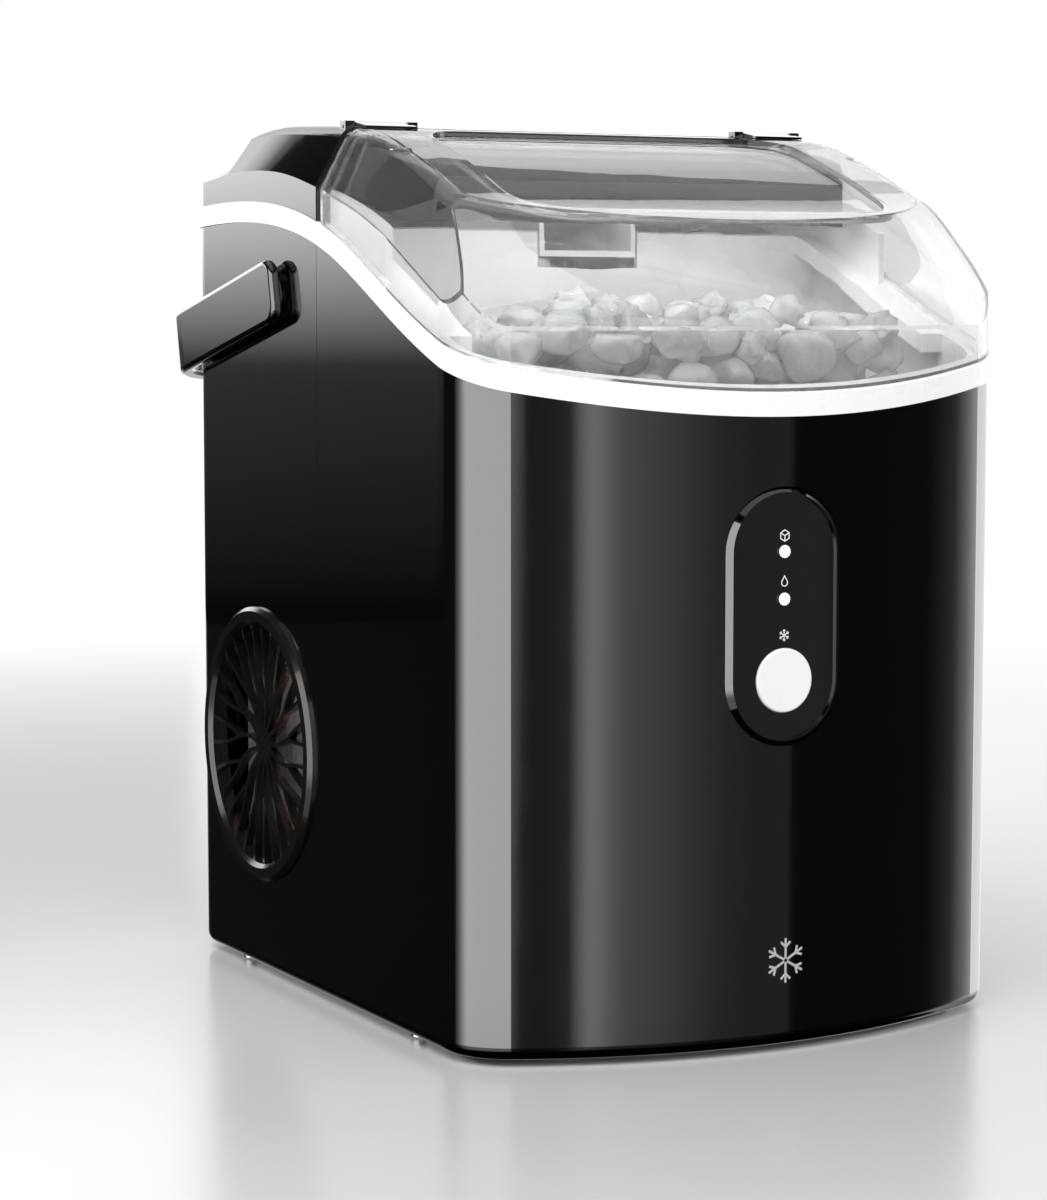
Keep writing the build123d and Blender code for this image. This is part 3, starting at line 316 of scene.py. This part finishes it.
def ribbon(mesh, points, width, thickness, place, closed=False):
    """Raised stroke along flat points; place(x, z, out) gives a point that far off the surface."""
    count = len(points)
    rings = []
    for index in range(count):
        here = Vector(points[index])
        before = Vector(points[index - 1]) if closed or index else here
        after = Vector(points[(index + 1) % count]) if closed or index < count - 1 else here
        along_in = (here - before).normalized() if here != before else (after - here).normalized()
        along_out = (after - here).normalized() if after != here else along_in
        side_in = Vector((-along_in.y, along_in.x))
        side = (side_in + Vector((-along_out.y, along_out.x))).normalized()
        reach = width / 2 / max(SHARPEST_MITRE, side.dot(side_in))
        ring = []
        for across, raised in RIBBON_SECTION:
            spot = here + side * reach * across
            ring.append(mesh.verts.new(place(spot.x, spot.y, raised * thickness)))
        rings.append(ring)
    spans = range(count if closed else count - 1)
    for index in spans:
        first, second = rings[index], rings[(index + 1) % count]
        for edge in range(4):
            other = (edge + 1) % 4
            mesh.faces.new((first[edge], first[other], second[other], second[edge]))
    if not closed:
        mesh.faces.new(rings[0])
        mesh.faces.new(rings[-1][::-1])


# ---- panel pictograms and front emblem -----------------------------------------------------

STROKE = 0.36 * MM
RAISED = 0.12 * MM
SIGN_SIZE = 2.0 * MM
CUBE_RISE = 5.6 * MM
DROP_RISE = 6.2 * MM
FLAKE_RISE = 3.2 * MM
RING_GAP = 0.55 * MM
RING_STROKE = 0.5 * MM
EMBLEM_X = 1.5 * MM
EMBLEM_Z = 33 * MM
EMBLEM_SIZE = 8.0 * MM
EMBLEM_STROKE = 0.9 * MM
FRONT_BOW = 223.5 * MM
FLAKE_ARMS = 6


def arc(center, radius, start, end, steps):
    """Points along an arc, angles in degrees."""
    turns = [radians(start + (end - start) * step / steps) for step in range(steps + 1)]
    return [(center[0] + radius * cos(turn), center[1] + radius * sin(turn)) for turn in turns]


def cube_sign(x, z, size):
    """Ice cube: a hexagon with its three inner edges."""
    corners = arc((x, z), size, 90, 390, 5)
    inner = [[(x, z), corners[index]] for index in (1, 3, 5)]
    return [(corners, True)] + [(line, False) for line in inner]


def drop_sign(x, z, size):
    """Water drop: a round bottom that narrows to a point."""
    bottom = arc((x, z - 0.25 * size), 0.72 * size, 155, 385, 14)
    return [(bottom + [(x, z + 1.15 * size)], True)]


def flake_sign(x, z, size):
    """Snow crystal with six plain arms."""
    lines = []
    for turn in range(FLAKE_ARMS):
        angle = radians(90 + 360 / FLAKE_ARMS * turn)
        tip = (x + size * cos(angle), z + size * sin(angle))
        knee = (x + 0.6 * size * cos(angle), z + 0.6 * size * sin(angle))
        lines.append(([(x + 0.08 * size * cos(angle), z + 0.08 * size * sin(angle)), tip], False))
        for bend in (-0.8, 0.8):
            twig = (knee[0] + 0.34 * size * cos(angle + bend), knee[1] + 0.34 * size * sin(angle + bend))
            lines.append(([knee, twig], False))
    return lines


def draw_signs(name, signs, stroke, place, material):
    mesh = bmesh.new()
    for points, closed in signs:
        ribbon(mesh, points, stroke, RAISED, place, closed)
    return new_piece(name, mesh, "housing", material, smooth=False)


def make_signs(materials):
    """Pictograms on the panel, and a dark ring round each indicator."""
    face_y = PANEL_LOW[1]
    lens_low, lens_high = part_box("indicator_lenses")
    radius = (lens_high[0] - lens_low[0]) / 2
    top_lens, low_lens = lens_high[2] - radius, lens_low[2] + radius

    def on_panel(x, z, out):
        return Vector((x, face_y - out, z))

    white = materials["white_trim"]
    signs = cube_sign(0, top_lens + CUBE_RISE, SIGN_SIZE)
    signs += drop_sign(0, low_lens + DROP_RISE, 0.85 * SIGN_SIZE)
    signs += flake_sign(0, BUTTON_HIGH[2] + FLAKE_RISE, 1.05 * SIGN_SIZE)
    draw_signs("panel_signs", signs, STROKE, on_panel, white)
    rings = [(arc((0, height), radius + RING_GAP, 0, 345, 23), True) for height in (top_lens, low_lens)]
    trim = materials["black_gloss_trim"]
    draw_signs("lens_rings", rings, RING_STROKE, on_panel, trim)


def make_emblem(materials):
    """Small snow crystal in silver print low on the bowed front."""
    front_y = SHELL_LOW[1]

    def on_front(x, z, out):
        return Vector((x, front_y + FRONT_BOW - sqrt(FRONT_BOW**2 - x**2) - out, z))

    signs = flake_sign(EMBLEM_X, EMBLEM_Z, EMBLEM_SIZE)
    draw_signs("front_emblem", signs, EMBLEM_STROKE, on_front, materials["print"])


# ---- ice -----------------------------------------------------------------------------------

HEAP_SEED = 11
NUGGETS_DROPPED = 620        # those that would stand above the heap's roof are left out
NUGGET_TRIES = 14
NUGGET_R = 10.0 * MM
NUGGET_SPREAD = (0.66, 1.16)
NUGGET_NEAREST = 0.86        # least distance between two centres, in sums of their radii
NUGGET_REACH = 1.1           # room kept above a lump's centre, in its radii
SEEN_HEIGHT = 0.226          # lumps above this get the finer mesh

HEAP_TOP = 0.277
HEAP_CROWN = 2.4
LID_DROP = 0.0765
LID_SLOPE = 0.26
HOOD_DEPTH = 0.100
HOOD_ROOF = 0.271

BASKET_SIDE = 17 * MM
BASKET_BACK = 8 * MM
BASKET_FLOOR = 3 * MM
BASKET_BOW = 203 * MM

CRUNCHY_SHARE = 0.5
FLAT_CUT = (0.55, 0.82)
FLAT_PRESS = 0.9
PIT_FALLOFF, PIT_STEP, PIT_LAYERS = 1.0, 2.2, 3


def heap_roof(x, y):
    """Height that the heap is kept to here, under the lid and with room for the basket's lift."""
    depth = y - CAD_BOX[0][1]
    crown = HEAP_TOP - HEAP_CROWN * x**2
    under_lid = LID_HIGH[2] - LID_DROP + LID_SLOPE * depth
    under_hood = HEAP_TOP if depth < HOOD_DEPTH else HOOD_ROOF
    return min(crown, under_lid, under_hood)


def drop_nuggets(draw):
    """Let nuggets settle one by one, each in the lowest of a few tries."""
    low_x, high_x = BASKET_LOW[0] + BASKET_SIDE, BASKET_HIGH[0] - BASKET_SIDE
    low_y, high_y = BASKET_LOW[1] + BASKET_SIDE, BASKET_HIGH[1] - BASKET_BACK
    floor = BASKET_LOW[2] + BASKET_FLOOR
    placed = []
    for _ in range(NUGGETS_DROPPED):
        radius = NUGGET_R * draw.uniform(*NUGGET_SPREAD)
        best = None
        for _ in range(NUGGET_TRIES):
            x = draw.uniform(low_x + radius, high_x - radius)
            front = low_y + BASKET_BOW - sqrt(BASKET_BOW**2 - x**2)
            y = draw.uniform(front + radius, high_y - radius)
            z = floor + radius
            for px, py, pz, pr in placed:
                flat = hypot(x - px, y - py)
                reach = NUGGET_NEAREST * (pr + radius)
                if flat < reach:
                    z = max(z, pz + sqrt(reach**2 - flat**2))
            if best is None or z < best[2]:
                best = (x, y, z, radius)
        if best[2] + NUGGET_REACH * best[3] < heap_roof(best[0], best[1]):
            placed.append(best)
    return placed


def nugget(mesh, center, radius, draw):
    """One lump: a squashed ball, pitted and knocked flat on a few sides."""
    fineness = 3 if center.z > SEEN_HEIGHT else 2
    made = bmesh.ops.create_icosphere(mesh, subdivisions=fineness, radius=1.0)["verts"]
    seed = Vector((draw.uniform(-50, 50), draw.uniform(-50, 50), draw.uniform(-50, 50)))
    crunchy = draw.random() < CRUNCHY_SHARE
    flats = []
    for _ in range(7 if crunchy else 4):
        normal = Vector((draw.gauss(0, 1), draw.gauss(0, 1), draw.gauss(0, 1))).normalized()
        flats.append((normal, draw.uniform(*FLAT_CUT)))
    stretch = Vector((draw.uniform(0.85, 1.2), draw.uniform(0.85, 1.2), draw.uniform(0.75, 1.0)))
    rough = 0.34 if crunchy else 0.10
    pitch = 2.9 if crunchy else 1.6
    for vert in made:
        spot = vert.co.copy()
        for normal, cut in flats:
            over = spot.dot(normal) - cut
            if over > 0:
                spot -= normal * over * FLAT_PRESS
        bumps = noise.fractal(spot * pitch + seed, PIT_FALLOFF, PIT_STEP, PIT_LAYERS)
        spot *= 1 + rough * bumps
        vert.co = Vector((spot.x * stretch.x, spot.y * stretch.y, spot.z * stretch.z)) * radius + center


def make_ice():
    """The heap of ice, which rides on the basket."""
    draw = Random(HEAP_SEED)
    mesh = bmesh.new()
    for x, y, z, radius in drop_nuggets(draw):
        nugget(mesh, Vector((x, y, z)), radius, draw)
    new_piece("ice_nuggets", mesh, "ice_basket", ice_material())


# ---- studio --------------------------------------------------------------------------------


ONLY_REFLECTIONS = ("camera", "diffuse", "transmission", "shadow", "volume_scatter")


def stage_object(name, mesh, material):
    data = bpy.data.meshes.new(name)
    mesh.to_mesh(data)
    mesh.free()
    data.materials.append(material)
    thing = bpy.data.objects.new(name, data)
    bpy.context.scene.collection.objects.link(thing)
    return thing


def hide_from(thing, *rays):
    for ray in rays:
        setattr(thing, f"visible_{ray}", False)


def make_world():
    world = bpy.data.worlds.new("studio_air")
    world.use_nodes = True
    background = world.node_tree.nodes["Background"]
    background.inputs["Color"].default_value = (1.0, 1.0, 1.0, 1.0)
    background.inputs["Strength"].default_value = 1.0
    bpy.context.scene.world = world
    world.cycles_visibility.glossy = False


FLOOR_RADIUS = 6.0
FLOOR_COLOR = (0.50, 0.50, 0.505, 1.0)
FLOOR_FADE = (0.25, 1.3)


def make_floor():
    """Pale satin table that fades into the white background with distance."""
    mesh = bmesh.new()
    bmesh.ops.create_circle(mesh, cap_ends=True, segments=96, radius=FLOOR_RADIUS)
    mat = Nodes("pale_table")
    distance = mat.add("ShaderNodeVectorMath")
    distance.operation = "LENGTH"
    mat.feed(distance.inputs[0], mat.coords)
    table = mat.add("ShaderNodeBsdfPrincipled", Base_Color=FLOOR_COLOR, Roughness=0.22)
    glow = mat.add("ShaderNodeEmission", Strength=1.0)
    far = mat.spread(distance.outputs["Value"], 0.0, 1.0, *FLOOR_FADE)
    blend = mat.add("ShaderNodeMixShader", Fac=far)
    mat.feed(blend.inputs[1], table.outputs[0])
    mat.feed(blend.inputs[2], glow.outputs[0])
    floor = stage_object("floor", mesh, mat.show(blend))
    hide_from(floor, "glossy")


def emissive(name, stops, read, fade=None):
    """Light whose strength follows stops (place, strength) along read(mat), times fade(mat)."""
    mat = Nodes(name)
    curve = mat.add("ShaderNodeFloatCurve", Value=read(mat))
    low, high = stops[0][0], stops[-1][0]
    most = max(strength for _, strength in stops)
    points = curve.mapping.curves[0].points
    while len(points) < len(stops):
        points.new(0.5, 0.5)
    for point, (place, strength) in zip(points, stops):
        point.location = ((place - low) / (high - low), strength / most)
        point.handle_type = "VECTOR"
    curve.mapping.update()
    level = mat.math("MULTIPLY", curve.outputs[0], most)
    if fade:
        level = mat.math("MULTIPLY", level, fade(mat))
    return mat.show(mat.add("ShaderNodeEmission", Strength=level))


# Brightness of the light tent by direction, in degrees from straight behind, towards +X.
TENT_STOPS = (
    (-180, 0.42), (-176.5, 0.50), (-175, 0.62), (-173, 0.85), (-170.5, 1.25), (-168.2, 0.85), (-166, 0.12),
    (-157.5, 0.05), (-155, 1.0), (-151, 3.0), (-90, 3.0), (-76, 0.7), (-68, 0.015), (-30, 0.01), (-10, 0.02),
    (5, 0.6), (30, 1.4), (52, 1.0), (66, 1.3), (88, 2.3), (92, 3.0), (95.5, 2.6), (99.5, 0.5), (104, 0.10),
    (112, 0.015), (147.9, 0.012), (148.3, 0.12), (155, 0.10), (164, 0.14), (180, 0.42),
)
TENT_RADIUS = 2.4
TENT_HEIGHTS = (-1.8, 1.9)
TENT_FADE = (-0.95, -0.48)   # heights between which the tent dims towards TENT_DIMMEST
TENT_DIMMEST = 0.22
TENT_SIDES = 240


def make_tent():
    """Round light tent that only reflections see."""
    mesh = bmesh.new()
    edges = []
    for step in range(TENT_SIDES):
        turn = 2 * pi * step / TENT_SIDES
        x, y = TENT_RADIUS * sin(turn), TENT_RADIUS * cos(turn)
        edges.append([mesh.verts.new((x, y, height)) for height in TENT_HEIGHTS])
    for step in range(TENT_SIDES):
        first, second = edges[step], edges[(step + 1) % TENT_SIDES]
        mesh.faces.new((first[0], second[0], second[1], first[1]))

    def by_direction(mat):
        parts = mat.add("ShaderNodeSeparateXYZ", Vector=mat.coords)
        turn = mat.math("ARCTAN2", parts.outputs["X"], parts.outputs["Y"])
        return mat.spread(turn, 0.0, 1.0, -pi, pi)

    def by_height(mat):
        parts = mat.add("ShaderNodeSeparateXYZ", Vector=mat.coords)
        return mat.spread(parts.outputs["Z"], TENT_DIMMEST, 1.0, *TENT_FADE)

    tent = stage_object("light_tent", mesh, emissive("tent_glow", TENT_STOPS, by_direction, by_height))
    hide_from(tent, *ONLY_REFLECTIONS)


def card(name, place, turn, width, height, stops, along="Y"):
    """Flat card; its strength follows stops along its own X or Y."""
    mesh = bmesh.new()
    bmesh.ops.create_grid(mesh, x_segments=1, y_segments=1, size=0.5)
    bmesh.ops.scale(mesh, vec=(width, height, 1), verts=mesh.verts)
    half = (width if along == "X" else height) / 2

    def by_place(mat):
        parts = mat.add("ShaderNodeSeparateXYZ", Vector=mat.coords)
        return mat.spread(parts.outputs[along], 0.0, 1.0, -half, half)

    board = stage_object(name, mesh, emissive(name + "_glow", stops, by_place))
    board.location = place
    board.rotation_euler = turn
    hide_from(board, *ONLY_REFLECTIONS)


def make_cards():
    """Cards that light the rear cover, the handle and whatever faces up."""
    card("back_left_card", (-0.33, 1.24, 0.37), (radians(90), 0, radians(15)), 1.5, 0.70,
         ((0.0, 0.0), (0.286, 0.08), (0.514, 2.3), (0.857, 2.3), (1.0, 1.0)))
    card("hip_card", (-0.03, 1.40, 0.97), (radians(90), 0, 0), 0.66, 0.77,
         ((0.0, 0.12), (0.05, 0.29), (0.12, 0.93), (0.22, 1.33), (0.50, 0.99), (1.0, 0.70)), along="X")
    card("top_card", (0.0, 0.1, 1.6), (0, 0, 0), 2.2, 2.2, ((0.0, 0.5), (1.0, 0.5)))


def make_lamp():
    """Broad soft lamp overhead that shapes the white parts."""
    data = bpy.data.lights.new("soft_lamp", "AREA")
    data.shape = "RECTANGLE"
    data.size, data.size_y = 0.9, 0.9
    data.energy = 13.0
    lamp = bpy.data.objects.new("soft_lamp", data)
    lamp.location = (-0.5, -0.4, 1.3)
    lamp.rotation_euler = (radians(20), radians(-22), 0)
    lamp.visible_glossy = False
    bpy.context.scene.collection.objects.link(lamp)


def make_bin_lamp():
    """Fill light just under the closed lid, which stays there when the lid opens."""
    data = bpy.data.lights.new("bin_lamp", "AREA")
    data.shape = "RECTANGLE"
    data.size, data.size_y = 0.170, 0.085
    data.energy = 0.09
    lamp = bpy.data.objects.new("bin_lamp", data)
    lamp.location = (0, CAD_BOX[0][1] + 0.088, LID_HIGH[2] - 0.031)
    lamp.rotation_euler = (radians(14), 0, 0)
    hide_from(lamp, "camera", "glossy", "transmission")
    bpy.context.scene.collection.objects.link(lamp)


make_camera()
MATERIALS = make_materials()
dress_nodes(MATERIALS)
make_signs(MATERIALS)
make_emblem(MATERIALS)
make_ice()
make_world()
make_floor()
make_tent()
make_cards()
make_lamp()
make_bin_lamp()
